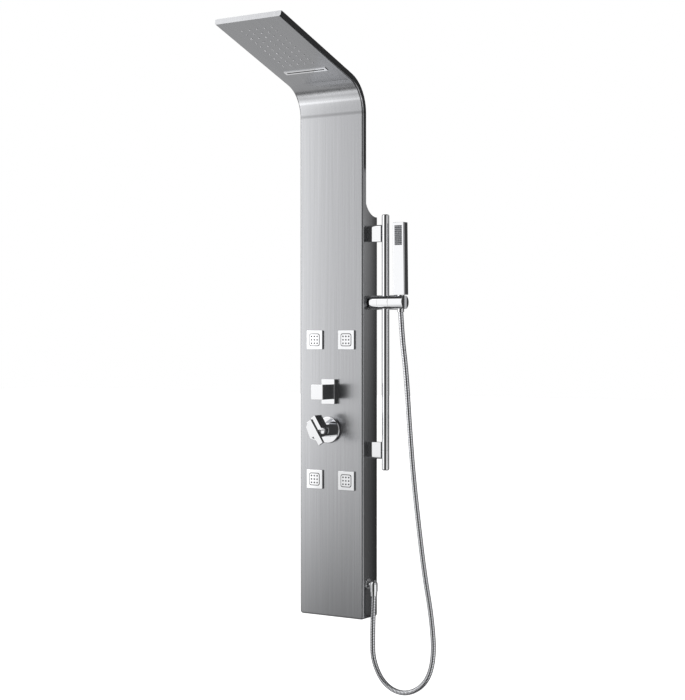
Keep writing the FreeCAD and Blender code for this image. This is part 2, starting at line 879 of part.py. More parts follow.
def lever_block():
    """The lever's thick part: wide behind, where it holds the pin, and narrower at its face."""
    half = lever_width / 2
    outlines = [
        (
            pivot_stand - lever_skirt,
            [
                (-lever_back, lever_ridge),
                (-lever_back, lever_corner - half),
                (2 * lever_corner - lever_back, -half),
                (lever_fore, -half),
                (lever_fore, lever_ridge),
            ],
        ),
        (
            lever_front,
            [
                (-lever_back, lever_ridge),
                (-lever_face_back, -lever_face_low),
                (-lever_face_shoulder, -lever_face_shoulder_low),
                (lever_fore, -lever_face_fore_low),
                (lever_fore, lever_ridge),
            ],
        ),
    ]
    wires = []
    for stand, outline in outlines:
        corners = lever_corners(outline, stand)
        wires.append(Part.makePolygon(corners + [corners[0]]))
    return Part.makeLoft(wires, True, True)


def mixer_lever():
    half = lever_width / 2
    bar_low = lever_ridge - lever_bar_width
    back = pivot_stand - lever_skirt
    front = lever_front
    strip = [
        (-lever_strip_back, lever_ridge),
        (lever_strip_fore, lever_ridge),
        (lever_strip_fore, half),
        (-lever_strip_back, half),
    ]
    bar = [
        (-lever_back, bar_low),
        (lever_bar_reach, bar_low),
        (lever_bar_reach, lever_ridge),
        (-lever_back, lever_ridge),
    ]
    gusset = [
        (lever_fore, -lever_face_fore_low),
        (lever_gusset_reach, bar_low),
        (lever_fore, bar_low),
    ]
    rim = lever_pocket_rim
    pocket = [
        (lever_fore + rim, bar_low - rim),
        (lever_fore + rim, 3 * rim - lever_face_fore_low),
        (lever_gusset_reach - 3 * rim, bar_low - rim),
    ]
    bar_back = front - lever_bar_thickness
    lever = joined(
        [
            lever_block(),
            lever_prism(strip, back, front - lever_step),
            lever_prism(bar, bar_back, front),
            lever_prism(gusset, bar_back, front),
        ]
    )
    lever = lever.cut(lever_prism(pocket, front - lever_pocket_depth, front + 1))
    pivot = Vec(control_x, pivot_y, mixer_height)
    room = hub_radius + hub_clear
    lever = lever.cut(Part.makeSphere(room, pivot))
    swept = []
    for step in range(lever_swing_steps + 1):
        hub_room = Part.makeCylinder(room, pivot_stand - escutcheon_thickness, pivot, Y_AXIS)
        hub_room.rotate(pivot, LEVER_ACROSS, lever_swing * step / lever_swing_steps)
        swept.append(hub_room)
    lever = lever.cut(Part.makeCompound(swept))
    return lever.cut(mixer_pin(slip))


# ---------------------------------------------------------------- diverter
def diverter_body():
    low = diverter_height - valve_height / 2
    high = diverter_height + valve_height / 2
    block = box(valve_left, valve_right, inner_front, inner_front + diverter_body_depth, low, high)
    start = (diverter_x, inner_front, diverter_height)
    neck = rod(neck_radius, start, -Y_AXIS, inner_front - diverter_neck_end)
    seat_start = (diverter_x, diverter_neck_end - 1, diverter_height)
    seat_length = front_y + 2 * stem_inset - seat_start[1]
    seat = rod(stem_radius + slip, seat_start, Y_AXIS, seat_length)
    return joined([block, neck]).cut(seat)


def diverter_plate():
    plate = rounded_plate(
        diverter_x,
        diverter_height,
        diverter_plate_width,
        diverter_plate_height,
        1.5,
        front_y - diverter_plate_thickness,
        front_y,
    )
    plate = plate.makeFillet(
        diverter_plate_edge, front_edges(plate, front_y - diverter_plate_thickness)
    )
    start = (diverter_x, front_y, diverter_height)
    return plate.cut(rod(neck_radius + slip, start, -Y_AXIS, diverter_plate_thickness))


def diverter_knob():
    back_y = front_y - diverter_plate_thickness - hub_clear
    front = front_y - knob_front
    knob = rounded_plate(
        diverter_x, diverter_height, knob_width, knob_height, 2.0, front, back_y
    )
    knob = knob.makeFillet(1.2, front_edges(knob, front))
    start = (diverter_x, back_y, diverter_height)
    room = rod(neck_radius + 2 * hub_clear, start, -Y_AXIS, diverter_neck + hub_clear)
    shaft = rod(stem_radius + press, start, -Y_AXIS, knob_socket)
    return knob.cut(room).cut(shaft)


def diverter_stem():
    start_y = front_y + stem_inset
    length = stem_inset + diverter_plate_thickness + hub_clear + knob_socket - 0.5
    return rod(stem_radius, (diverter_x, start_y, diverter_height), -Y_AXIS, length)


# ---------------------------------------------------------------- slide bar
def bar_end(joint_z, arm_z, up):
    """A wall arm on the column's side with the bar's end post on it; up is +1 at the top."""
    depth = arm_block_depth / 2
    height = arm_block_height / 2
    end_x = half_width + arm_block_reach
    arm = box(half_width, end_x, bar_y - depth, bar_y + depth, arm_z - height, arm_z + height)
    corners = [e for e in arm.Edges if abs(e.tangentAt(e.FirstParameter).x) > 0.99]
    outer = [e for e in corners if e.BoundBox.Center.y < bar_y and (e.BoundBox.Center.z - arm_z) * up > 0]
    others = [e for e in corners if not e.isSame(outer[0])]
    arm = arm.makeFillet(arm_block_edge, others)
    outer = [
        e for e in arm.Edges
        if abs(e.BoundBox.Center.y - bar_y + depth) < 0.01
        and abs(e.BoundBox.Center.z - arm_z - up * height) < 0.01
    ]
    arm = arm.makeFillet(arm_block_round, outer)
    way = Z_AXIS * up
    post = rod(bar_radius, (bar_x, bar_y, joint_z), way, bar_end_stand)
    post = post.makeFillet(post_round, end_edge(post, "z", joint_z + up * bar_end_stand))
    post = post.makeChamfer(joint_chamfer, end_edge(post, "z", joint_z))
    web_far = arm_z + up * (height - 2)
    low, high = sorted((joint_z, web_far))
    web = box(end_x - bar_radius, bar_x, bar_y - bar_web / 2, bar_y + bar_web / 2, low, high)
    spigot = rod(bar_radius - bar_wall - slip, (bar_x, bar_y, joint_z), -way, bar_spigot)
    tube_room = rod(bar_radius + slip, (bar_x, bar_y, joint_z), -way, arm_block_height)
    screw_start = (half_width - 1, bar_y, arm_z)
    screw = rod(bar_screw_radius + slip, screw_start, X_AXIS, bar_screw_reach + 2)
    solid = joined([arm.cut(tube_room), web, post, spigot])
    return solid.cut(screw)


def slide_bar():
    length = bar_joint_high - bar_joint_low
    start = (bar_x, bar_y, bar_joint_low)
    bar = rod(bar_radius, start, Z_AXIS, length)
    ends = end_edge(bar, "z", bar_joint_low) + end_edge(bar, "z", bar_joint_high)
    return bar.makeChamfer(joint_chamfer, ends).cut(rod(bar_radius - bar_wall, start, Z_AXIS, length))


def bar_screws():
    screws = []
    for height in (bar_low_arm, bar_high_arm):
        head = rod(5.0, (inner_half, bar_y, height), -X_AXIS, 4.0)
        start = (inner_half, bar_y, height)
        shank = rod(bar_screw_radius, start, X_AXIS, sheet + bar_screw_reach)
        screws.append(head.fuse(shank))
    return Part.makeCompound(screws)


# ---------------------------------------------------------------- slider, clamp knob and holder
def slider_body():
    start = (slider_left, bar_y, slider_height)
    body = rod(slider_radius, start, X_AXIS, slider_joint - slider_left)
    body = body.makeChamfer(joint_chamfer, end_edge(body, "x", slider_joint))
    pivot = rod(pivot_radius, (slider_joint, bar_y, slider_height), X_AXIS, pivot_length)
    body = body.fuse(pivot).removeSplitter()
    way_start = (bar_x, bar_y, slider_height - 2 * slider_radius)
    way = rod(bar_radius + slip, way_start, Z_AXIS, 4 * slider_radius)
    thread_start = (slider_left - 1, bar_y, slider_height)
    thread = rod(clamp_screw_radius + slip, thread_start, X_AXIS, bar_x - thread_start[0])
    return body.cut(way).cut(thread)


def clamp_knob():
    end_x = slider_left - holder_play
    knob = rod(slider_radius, (knob_left, bar_y, slider_height), X_AXIS, end_x - knob_left)
    knob = knob.makeChamfer(knob_chamfer, end_edge(knob, "x", knob_left))
    screw_end = bar_x - bar_radius - clamp_screw_play
    start = (end_x - 2, bar_y, slider_height)
    screw = rod(clamp_screw_radius, start, X_AXIS, screw_end - start[0])
    return knob.fuse(screw).removeSplitter()


def holder():
    start_x = slider_joint + holder_play
    body = rod(slider_radius, (start_x, bar_y, slider_height), X_AXIS, holder_right - start_x)
    body = body.makeChamfer(holder_chamfer, end_edge(body, "x", holder_right))
    body = body.makeChamfer(joint_chamfer, end_edge(body, "x", start_x))
    start = (slider_joint, bar_y, slider_height)
    pivot = rod(pivot_radius + slip, start, X_AXIS, pivot_length + holder_play)
    low = holder_low
    cone = Part.makeCone(
        socket_bottom_radius + cone_play,
        socket_top_radius + cone_play,
        2 * slider_radius,
        Vec(socket_x, bar_y, low),
    )
    half = socket_slot / 2
    slot = box(socket_x, holder_right + 1, bar_y - half, bar_y + half, low, low + 2 * slider_radius)
    return body.cut(pivot).cut(cone).cut(slot)


# ---------------------------------------------------------------- hand shower
def handset_section(height, front):
    half = handset_width / 2
    corners = box(
        socket_x - half, socket_x + half, front, front + handset_depth, height, height + 1
    )
    upright = [e for e in corners.Edges if abs(e.tangentAt(e.FirstParameter).z) > 0.99]
    block = corners.makeFillet(handset_corner, upright)
    floor = [f for f in block.Faces if abs(f.CenterOfMass.z - height) < 0.01][0]
    return floor.OuterWire


def handset_body():
    body = Part.makeLoft(
        [
            handset_section(handset_low, handset_front_bottom),
            handset_section(handset_top, handset_front_top),
        ],
        True,
        True,
    )
    body = body.makeFillet(1.5, end_edge(body, "z", handset_top))
    pocket = pad_plate(slip, pad_front - 1, pad_front + pad_depth + slip)
    socket_end = holder_top + cone_spigot + handset_gap
    socket = rod(stem_radius + press, (socket_x, bar_y, holder_top), Z_AXIS, socket_end - holder_top)
    waterway = rod(waterway_radius, (socket_x, bar_y, holder_top), Z_AXIS, handset_height / 2)
    hollow = box(
        socket_x - handset_width / 2 + handset_wall,
        socket_x + handset_width / 2 - handset_wall,
        handset_front_bottom + pad_depth + handset_wall,
        handset_front_top + handset_depth - handset_wall,
        socket_end + handset_wall,
        handset_top - handset_wall,
    )
    return body.cut(pocket).cut(socket).cut(waterway.fuse(hollow))


def leaned(shape):
    """Leans a shape made square to the wall so that it follows the hand shower's face."""
    shape.rotate(Vec(socket_x, pad_front, pad_middle), X_AXIS, math.degrees(handset_lean))
    return shape


def pad_plate(play, y_front, y_back):
    """The spray pad's outline, grown by play, from y_front back to y_back."""
    width = pad_width + 2 * play
    height = pad_height + 2 * play
    return leaned(rounded_plate(socket_x, pad_middle, width, height, 1.0, y_front, y_back))


def pad_places():
    places = []
    for row in range(pad_rows):
        for column in range(pad_columns):
            x = socket_x + (column - (pad_columns - 1) / 2) * pad_width / (pad_columns + 0.4)
            z = pad_middle + (row - (pad_rows - 1) / 2) * pad_height / (pad_rows + 0.3)
            places.append((x, z))
    return places


def pad_pegs(radius):
    y = pad_front - pad_nozzle_stand
    pegs = [rod(radius, (x, y, z), Y_AXIS, pad_nozzle_length) for x, z in pad_places()]
    return leaned(Part.makeCompound(pegs))


def handset_nozzles():
    return pad_pegs(pad_nozzle_radius)


def handset_face():
    plate = pad_plate(0, pad_front - pad_sink, pad_front + pad_depth)
    return plate.cut(pad_pegs(pad_nozzle_radius + press))


def handset_cone():
    """The tapered hose nut that drops into the holder, with a spigot up into the handset."""
    low = holder_low
    cone = Part.makeCone(
        socket_bottom_radius, socket_top_radius, 2 * slider_radius, Vec(socket_x, bar_y, low)
    )
    tail = rod(socket_bottom_radius, (socket_x, bar_y, low - cone_tail), Z_AXIS, cone_tail)
    spigot = rod(stem_radius, (socket_x, bar_y, holder_top), Z_AXIS, cone_spigot)
    seat_depth = hose_seat_depth + hose_seat_slack
    seat = rod(hose_seat_radius, (socket_x, bar_y, low - cone_tail), Z_AXIS, seat_depth)
    return joined([cone, tail, spigot]).cut(seat)


# ---------------------------------------------------------------- outlet elbow, nut and hose
def outlet_elbow():
    centre = Vec(elbow_x, elbow_y, elbow_height)
    start = (elbow_inner_end, elbow_y, elbow_height)
    pipe = rod(elbow_pipe_radius, start, X_AXIS, elbow_x - elbow_inner_end)
    knuckle = Part.makeSphere(elbow_radius, centre)
    drop = rod(elbow_radius, centre, -Z_AXIS, elbow_drop)
    spigot = rod(elbow_spigot_radius, (elbow_x, elbow_y, hose_nut_top), -Z_AXIS, elbow_spigot)
    return joined([pipe, knuckle, drop, spigot])


def elbow_flange():
    start = (half_width, elbow_y, elbow_height)
    ring = tube(
        elbow_flange_radius, elbow_pipe_radius + slip, start, X_AXIS, elbow_flange_thickness
    )
    end_x = half_width + elbow_flange_thickness
    rim = [
        e for e in ring.Edges
        if abs(e.BoundBox.Center.x - end_x) < 0.1 and e.BoundBox.ZLength > 2 * elbow_pipe_radius + 2
    ]
    return ring.makeFillet(1.2, rim)


def elbow_nut():
    start = (inner_half - elbow_nut_thickness, elbow_y, elbow_height)
    bore = elbow_pipe_radius + slip
    return hex_nut(start, X_AXIS, elbow_flange_radius, bore, elbow_nut_thickness)


def hose_nut():
    body = rod(hose_nut_radius, (elbow_x, elbow_y, hose_nut_bottom), Z_AXIS, hose_nut_length)
    body = body.makeChamfer(hose_nut_chamfer, end_edge(body, "z", hose_nut_bottom))
    start = (elbow_x, elbow_y, hose_nut_top)
    thread = rod(elbow_spigot_radius + slip, start, -Z_AXIS, elbow_spigot + 0.5)
    seat_depth = hose_seat_depth + hose_seat_slack
    seat = rod(hose_seat_radius, (elbow_x, elbow_y, hose_nut_bottom), Z_AXIS, seat_depth)
    return body.cut(thread).cut(seat)


# The hose's route, from the hand shower's cone down round the free loop and up to the elbow's nut.
hose_route = [
    (socket_x, bar_y, holder_low - cone_tail + hose_seat_depth),
    (198, -34.3, 738),
    (211, -35, 648),
    (221, -36, 517),
    (233, -37, 385),
    (250, -38, 255),
    (268.5, -39, 127),
    (290, -40, 22),
    (299, -41, -80),
    (275, -42, -152),
    (213, -43, -187),
    (150, -43.5, -168),
    (115.5, -44, -108),
    (114.5, -44, -45),
    (116, -44, 10),
    (elbow_x, elbow_y, hose_nut_bottom + hose_seat_depth),
]


def route_tube(route, radius):
    """A tube on straight runs joined by the largest tangent arcs; prints each arc's radius."""
    points = [Vec(*p) for p in route]
    edges = []
    here = points[0]
    for before, corner, after in zip(points, points[1:], points[2:]):
        way_in = corner - before
        way_out = after - corner
        turn = way_in.getAngle(way_out)
        trim = 0.45 * min(way_in.Length, way_out.Length)
        print("arc radius", round(trim / math.tan(turn / 2), 1), "mm")
        way_in.normalize()
        way_out.normalize()
        start = corner - way_in * trim
        end = corner + way_out * trim
        inward = (way_out - way_in).normalize()
        arc_radius = trim / math.tan(turn / 2)
        to_centre = arc_radius / math.cos(turn / 2)
        middle = corner + inward * (to_centre - arc_radius)
        edges.append(Part.LineSegment(here, start).toShape())
        edges.append(Part.Arc(start, middle, end).toShape())
        here = end
    edges.append(Part.LineSegment(here, points[-1]).toShape())
    path = Part.Wire(edges)
    section = Part.Wire(Part.makeCircle(radius, points[0], points[1] - points[0]))
    solid = path.makePipeShell([section], True, False)
    print("hose length", round(path.Length, 1), "mm")
    plain = math.pi * radius**2 * path.Length
    print("volume over section times length", round(solid.Volume / plain, 4))
    return solid


# ---------------------------------------------------------------- build
export("front_shell", front_shell())
export("rear_cover", rear_cover())
export("back_plate", back_plate())
export("wall_hanger_lower", wall_hanger(bracket_low))
export("wall_hanger_upper", wall_hanger(bracket_low + bolt_rows))
export("hanger_screws", hanger_screws())

export("rain_nozzles", rain_nozzles())
export("rain_chamber", rain_chamber())
export("waterfall_spout", waterfall_spout())
export("rain_pipe", rain_pipe())
export("waterfall_pipe", waterfall_pipe())

for number, (jet_x, jet_z) in enumerate(jet_places, start=1):
    for piece, shape in zip(("frame", "ring", "face", "nozzles"), jet_shape(jet_x, jet_z)):
        export(f"jet_{number}_{piece}", shape)
export("jet_nuts", jet_nuts())
upper_feed = [(control_x + 13, pipe_y, diverter_top), (control_x + 13, pipe_y, jet_upper)]
lower_feed = [
    (valve_left, pipe_y, diverter_height),
    (-jet_spacing / 2, pipe_y, diverter_height),
    (-jet_spacing / 2, pipe_y, jet_lower),
]
export("jet_header_upper", jet_header(jet_upper, upper_feed))
export("jet_header_lower", jet_header(jet_lower, lower_feed))
export("handset_pipe", handset_pipe())
export("mixer_pipe", mixer_pipe())

export("mixer_body", mixer_body())
export("mixer_cartridge", mixer_cartridge())
export("mixer_escutcheon", mixer_escutcheon())
export("mixer_hub", mixer_hub())
export("mixer_stem", mixer_stem())
export("mixer_pin", mixer_pin())
export("mixer_lever", mixer_lever())
export("diverter_body", diverter_body())
export("diverter_plate", diverter_plate())
export("diverter_knob", diverter_knob())
export("diverter_stem", diverter_stem())

export("bar_end_upper", bar_end(bar_joint_high, bar_high_arm, 1))
export("bar_end_lower", bar_end(bar_joint_low, bar_low_arm, -1))
export("slide_bar", slide_bar())
export("bar_screws", bar_screws())
export("slider_body", slider_body())
export("clamp_knob", clamp_knob())
export("holder", holder())
export("handset_body", handset_body())
export("handset_face", handset_face())
export("handset_nozzles", handset_nozzles())
export("handset_cone", handset_cone())
export("outlet_elbow", outlet_elbow())
export("elbow_flange", elbow_flange())
export("elbow_nut", elbow_nut())
export("hose_nut", hose_nut())
export("shower_hose", route_tube(hose_route, hose_radius))
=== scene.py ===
import math

import bpy
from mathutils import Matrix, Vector


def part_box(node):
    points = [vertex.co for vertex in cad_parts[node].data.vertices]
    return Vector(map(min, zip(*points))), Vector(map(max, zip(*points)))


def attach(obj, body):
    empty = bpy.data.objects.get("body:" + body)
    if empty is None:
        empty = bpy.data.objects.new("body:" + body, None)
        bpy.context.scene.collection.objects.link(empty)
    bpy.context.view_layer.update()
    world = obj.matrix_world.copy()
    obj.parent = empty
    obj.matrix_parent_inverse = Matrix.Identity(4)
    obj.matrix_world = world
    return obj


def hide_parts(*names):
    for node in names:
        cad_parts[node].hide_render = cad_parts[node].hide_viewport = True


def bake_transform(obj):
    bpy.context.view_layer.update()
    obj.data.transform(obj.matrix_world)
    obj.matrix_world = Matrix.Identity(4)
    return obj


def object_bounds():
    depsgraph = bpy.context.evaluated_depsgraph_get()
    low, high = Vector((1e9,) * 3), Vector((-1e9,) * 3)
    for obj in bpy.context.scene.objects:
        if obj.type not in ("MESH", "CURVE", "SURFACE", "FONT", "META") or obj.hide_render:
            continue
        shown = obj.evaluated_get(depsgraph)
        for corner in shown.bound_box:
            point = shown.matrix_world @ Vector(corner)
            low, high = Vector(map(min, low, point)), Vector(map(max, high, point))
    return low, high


# A wall-hung shower column: a folded steel column with a rain arm, body jets, a mixer and a hand shower.
# Everything is in metres. The wall is the plane Y = 0, the front faces -Y and +X is the hand shower's side.

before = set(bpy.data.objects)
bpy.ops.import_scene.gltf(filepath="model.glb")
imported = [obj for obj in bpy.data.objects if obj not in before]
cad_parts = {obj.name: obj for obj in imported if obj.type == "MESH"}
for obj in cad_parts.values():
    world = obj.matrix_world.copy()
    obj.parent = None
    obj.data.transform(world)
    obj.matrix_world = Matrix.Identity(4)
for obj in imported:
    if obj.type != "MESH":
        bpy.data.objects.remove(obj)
cad_low, cad_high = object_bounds()
mm = 0.001

# ---------------------------------------------------------------- camera
# The column is looked at from its right, with the camera level with the middle of the column.

view_turn = math.radians(33.41)
view_dip = math.radians(0.45)
view_distance = 4.1334
view_middle = Vector((0.0325, -0.0625, 0.1293))
towards_camera = Vector(
    (
        math.sin(view_turn) * math.cos(view_dip),
        -math.cos(view_turn) * math.cos(view_dip),
        math.sin(view_dip),
    )
)


def new_object(name, data):
    """An object in the scene that shows this data."""
    made = bpy.data.objects.new(name, data)
    bpy.context.scene.collection.objects.link(made)
    return made


camera_data = bpy.data.cameras.new("camera")
camera_data.lens = 80.95
camera_data.sensor_width = 36.0
camera_data.shift_y = 0.0049
camera = new_object("camera", camera_data)
camera.location = view_middle + towards_camera * view_distance
camera.rotation_euler = (-towards_camera).to_track_quat("-Z", "Y").to_euler()
bpy.context.scene.camera = camera

# ---------------------------------------------------------------- shower hose
# A flexible hose of bright steel strip wound in a spiral over a rubber tube, 13.5 mm thick. It hangs from
# the hand shower's cone, runs down past the column, loops below it and comes up to the outlet elbow.

hose_diameter = 13.5 * mm
hose_sides = 20
hose_sizes = {"Radius": hose_diameter / 2, "Turn": 4.2 * mm, "Groove": 0.8 * mm, "Steps": 8.0}
ridge_flatness = 0.35
hose_points = [
    (0.194, -0.034, 0.2406),
    (0.198, -0.0343, 0.173),
    (0.211, -0.035, 0.083),
    (0.221, -0.036, -0.048),
    (0.233, -0.037, -0.18),
    (0.25, -0.038, -0.31),
    (0.2685, -0.039, -0.438),
    (0.29, -0.04, -0.543),
    (0.299, -0.041, -0.645),
    (0.275, -0.042, -0.717),
    (0.213, -0.043, -0.752),
    (0.15, -0.0435, -0.733),
    (0.1155, -0.044, -0.673),
    (0.1145, -0.044, -0.61),
    (0.116, -0.044, -0.555),
    (0.118, -0.044, -0.5004),
]


def plain_mesh(maker, name):
    """The evaluated shape of an object as a plain mesh object; the maker is removed."""
    bpy.context.view_layer.update()
    graph = bpy.context.evaluated_depsgraph_get()
    mesh = bpy.data.meshes.new_from_object(maker.evaluated_get(graph), depsgraph=graph)
    mesh.name = name
    bpy.data.objects.remove(maker)
    return new_object(name, mesh)


def node_group(name, sizes):
    """A new geometry tree with named number inputs, and its input and output nodes."""
    tree = bpy.data.node_groups.new(name, "GeometryNodeTree")
    tree.interface.new_socket("Geometry", in_out="INPUT", socket_type="NodeSocketGeometry")
    for size in sizes:
        tree.interface.new_socket(size, in_out="INPUT", socket_type="NodeSocketFloat")
    tree.interface.new_socket("Geometry", in_out="OUTPUT", socket_type="NodeSocketGeometry")
    return tree, tree.nodes.new("NodeGroupInput"), tree.nodes.new("NodeGroupOutput")


def grow(obj, tree, sizes, name):
    """Runs a geometry tree on obj with these sizes and returns the plain mesh piece."""
    modifier = obj.modifiers.new("grow", "NODES")
    modifier.node_group = tree
    for item in tree.interface.items_tree:
        if item.in_out == "INPUT" and item.name in sizes:
            modifier[item.identifier] = sizes[item.name]
    return plain_mesh(obj, name)


def maths(tree, operation, *values, clamp=False):
    """The result of a Math node; each value is a socket or a number."""
    made = tree.nodes.new("ShaderNodeMath")
    made.operation = operation
    made.use_clamp = clamp
    for place, value in enumerate(values):
        if isinstance(value, bpy.types.NodeSocket):
            tree.links.new(value, made.inputs[place])
        else:
            made.inputs[place].default_value = value
    return made.outputs["Value"]


def finish_output(tree, last, output, material):
    """Shades the geometry smooth, makes its instances real and gives it one material."""
    smooth = tree.nodes.new("GeometryNodeSetShadeSmooth")
    real = tree.nodes.new("GeometryNodeRealizeInstances")
    coat = tree.nodes.new("GeometryNodeSetMaterial")
    coat.inputs["Material"].default_value = material
    tree.links.new(last, smooth.inputs["Geometry"])
    tree.links.new(smooth.outputs["Geometry"], real.inputs["Geometry"])
    tree.links.new(real.outputs["Geometry"], coat.inputs["Geometry"])
    tree.links.new(coat.outputs["Geometry"], output.inputs["Geometry"])


def new_material(name, metallic=0.0):
    """A material with its node tree and its principled shader."""
    material = bpy.data.materials.new(name)
    material.use_nodes = True
    shader = material.node_tree.nodes["Principled BSDF"]
    shader.inputs["Metallic"].default_value = metallic
    return material, material.node_tree, shader


def object_parts(tree):
    """The X, Y and Z of a point on the piece, as the outputs of one node."""
    parts = tree.nodes.new("ShaderNodeSeparateXYZ")
    place = tree.nodes.new("ShaderNodeTexCoord")
    tree.links.new(place.outputs["Object"], parts.inputs["Vector"])
    return parts.outputs


def noise(tree, scale, stretch=(1, 1, 1), detail=3.0):
    """Noise on Object coordinates, drawn out along the axes where stretch is small."""
    coordinates = tree.nodes.new("ShaderNodeTexCoord")
    mapping = tree.nodes.new("ShaderNodeMapping")
    mapping.inputs["Scale"].default_value = stretch
    texture = tree.nodes.new("ShaderNodeTexNoise")
    texture.inputs["Scale"].default_value = scale
    texture.inputs["Detail"].default_value = detail
    tree.links.new(coordinates.outputs["Object"], mapping.inputs["Vector"])
    tree.links.new(mapping.outputs["Vector"], texture.inputs["Vector"])
    return texture.outputs["Fac"]


def span(tree, value, low, high, start=0.0, end=1.0, soft=False):
    """A value that runs from low to high while the given one runs from start to end."""
    spread = tree.nodes.new("ShaderNodeMapRange")
    if soft:
        spread.interpolation_type = "SMOOTHSTEP"
    settings = {"From Min": start, "From Max": end, "To Min": low, "To Max": high}
    for setting, number in settings.items():
        spread.inputs[setting].default_value = number
    tree.links.new(value, spread.inputs["Value"])
    return spread.outputs["Result"]


def two_tone(tree, value, low, high):
    """A colour that goes from low to high while the value goes from 0 to 1."""
    tones = tree.nodes.new("ShaderNodeMix")
    tones.data_type = "RGBA"
    tones.inputs["A"].default_value = (*low, 1)
    tones.inputs["B"].default_value = (*high, 1)
    tree.links.new(value, tones.inputs["Factor"])
    return tones.outputs["Result"]


def bump(tree, shader, height, depth):
    """Adds relief of that depth, in metres, to a shader."""
    relief = tree.nodes.new("ShaderNodeBump")
    relief.inputs["Distance"].default_value = depth
    tree.links.new(height, relief.inputs["Height"])
    tree.links.new(relief.outputs["Normal"], shader.inputs["Normal"])


# Painted shade: the strip's colour is near black in its grooves, where shade falls between turns, and
# bright steel on its ridges; the shape below notes which is which.
hose_steel, tree, shader = new_material("hose_steel", metallic=1.0)
noted = tree.nodes.new("ShaderNodeAttribute")
noted.attribute_name = "ridge"
groove_shade_mask = span(tree, noted.outputs["Fac"], 0.0, 1.0, start=0.2, end=0.6, soft=True)
painted_groove_shade = two_tone(tree, groove_shade_mask, (0.03, 0.03, 0.035), (0.9, 0.91, 0.94))
tree.links.new(painted_groove_shade, shader.inputs["Base Color"])
tree.links.new(span(tree, noise(tree, 90.0), 0.04, 0.1), shader.inputs["Roughness"])

# The spiral strip: one ridge for each turn, with a narrow groove between turns.
hose_tree, given, output = node_group("spiral_hose", hose_sizes)
to_curve = hose_tree.nodes.new("GeometryNodeMeshToCurve")
resample = hose_tree.nodes.new("GeometryNodeResampleCurve")
resample.mode = "LENGTH"
along = hose_tree.nodes.new("GeometryNodeSplineParameter")
mark_along = hose_tree.nodes.new("GeometryNodeCaptureAttribute")
mark_along.capture_items.new("FLOAT", "Along")
ring = hose_tree.nodes.new("GeometryNodeCurvePrimitiveCircle")
ring.inputs["Resolution"].default_value = hose_sides
around = hose_tree.nodes.new("GeometryNodeSplineParameter")
mark_around = hose_tree.nodes.new("GeometryNodeCaptureAttribute")
mark_around.capture_items.new("FLOAT", "Around")
sweep = hose_tree.nodes.new("GeometryNodeCurveToMesh")
outwards = hose_tree.nodes.new("GeometryNodeInputNormal")
push = hose_tree.nodes.new("ShaderNodeVectorMath")
push.operation = "SCALE"
shape = hose_tree.nodes.new("GeometryNodeSetPosition")
# The ridge height is kept for the strip's painted groove shade.
note_ridge = hose_tree.nodes.new("GeometryNodeStoreNamedAttribute")
note_ridge.data_type = "FLOAT"
note_ridge.domain = "POINT"
note_ridge.inputs["Name"].default_value = "ridge"
wire = hose_tree.links.new
step = maths(hose_tree, "DIVIDE", given.outputs["Turn"], given.outputs["Steps"])
wire(given.outputs["Geometry"], to_curve.inputs["Mesh"])
wire(to_curve.outputs["Curve"], resample.inputs["Curve"])
wire(step, resample.inputs["Length"])
wire(resample.outputs["Curve"], mark_along.inputs["Geometry"])
wire(along.outputs["Length"], mark_along.inputs["Along"])
wire(given.outputs["Radius"], ring.inputs["Radius"])
wire(ring.outputs["Curve"], mark_around.inputs["Geometry"])
wire(around.outputs["Factor"], mark_around.inputs["Around"])
wire(mark_along.outputs["Geometry"], sweep.inputs["Curve"])
wire(mark_around.outputs["Geometry"], sweep.inputs["Profile Curve"])
turns = maths(hose_tree, "DIVIDE", mark_along.outputs["Along"], given.outputs["Turn"])
phase = maths(hose_tree, "ADD", turns, mark_around.outputs["Around"])
wave = maths(hose_tree, "SINE", maths(hose_tree, "MULTIPLY", phase, math.pi))
ridge = maths(hose_tree, "ABSOLUTE", wave)
sunk = maths(hose_tree, "SUBTRACT", maths(hose_tree, "POWER", ridge, ridge_flatness), 1.0)
wire(outwards.outputs["Normal"], push.inputs["Vector"])
wire(maths(hose_tree, "MULTIPLY", sunk, given.outputs["Groove"]), push.inputs["Scale"])
wire(sweep.outputs["Mesh"], note_ridge.inputs["Geometry"])
wire(ridge, note_ridge.inputs["Value"])
wire(note_ridge.outputs["Geometry"], shape.inputs["Geometry"])
wire(push.outputs["Vector"], shape.inputs["Offset"])
finish_output(hose_tree, shape.outputs["Geometry"], output, hose_steel)

# The route is one NURBS line; its points are read back close together for the three stretches of tube.
route_data = bpy.data.curves.new("hose_route", "CURVE")
route_data.dimensions = "3D"
spline = route_data.splines.new("NURBS")
spline.points.add(len(hose_points) - 1)
for place, point in zip(hose_points, spline.points):
    point.co = (*place, 1.0)
spline.order_u = 3
spline.use_endpoint_u = True
spline.resolution_u = 24
route_line = plain_mesh(new_object("hose_route", route_data), "hose_line")
hose_line = [v.co.copy() for v in route_line.data.vertices]
bpy.data.objects.remove(route_line)


def stretch(high, low):
    """The points of the hose's line on its long hanging side between two heights."""
    lowest = min(range(len(hose_line)), key=lambda k: hose_line[k].z)
    return [p for p in hose_line[: lowest + 1] if low <= p.z <= high]


def hose_piece(name, points):
    """One stretch of hose along these points; the CAD hose is hidden."""
    line = bpy.data.meshes.new(name + "_line")
    line.from_pydata(points, [(k, k + 1) for k in range(len(points) - 1)], [])
    piece = grow(new_object(name + "_line", line), hose_tree, hose_sizes, name)
    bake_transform(piece)
    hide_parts("shower_hose")


lead_end = 0.135
neck_end = 0.045
lead_points = stretch(1.0, lead_end)
neck_points = [lead_points[-1]] + stretch(lead_end, neck_end)
split = hose_line.index(neck_points[-1])
main_points = list(reversed(hose_line[split:]))
hose_piece("hose_main", main_points)
hose_piece("hose_neck", neck_points)
hose_piece("hose_lead", lead_points)

